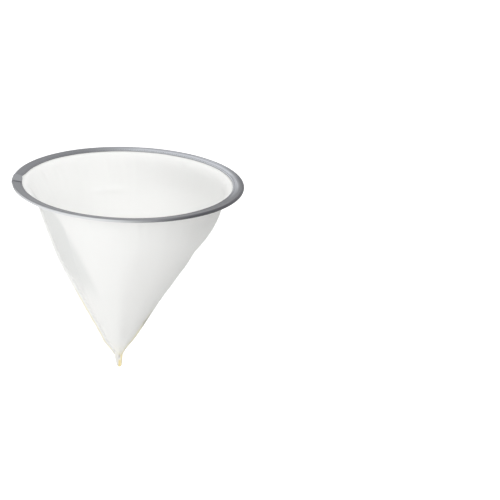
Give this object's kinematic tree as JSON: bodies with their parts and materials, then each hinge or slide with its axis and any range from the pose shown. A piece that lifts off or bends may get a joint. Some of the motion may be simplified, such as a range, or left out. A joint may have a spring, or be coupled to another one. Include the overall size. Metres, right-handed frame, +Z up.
{
  "type": "honey filter cloth",
  "caption": "Cone of fine white nylon net with its top edge bound in a grey tape over a wire hoop, hung by the rim in the mouth of a pail to strain honey.",
  "frame": {"origin": "centre of the rim's flat underside, which rests on the mouth of a pail", "axes": "+Z up along the cone's axis, so the net hangs below the origin; the seam is on the -X side and -Y is the front"},
  "size_m": [0.3006, 0.3, 0.258],
  "materials": {
    "net": "fine woven white nylon net, satin, with a little honey left at the tip",
    "tape": "satin grey woven binding tape",
    "wire": "drawn spring wire"
  },
  "bodies": {
    "root": {"filter_cone": "net", "rim_tape": "tape", "hoop_wire": "wire"}
  },
  "joints": []
}
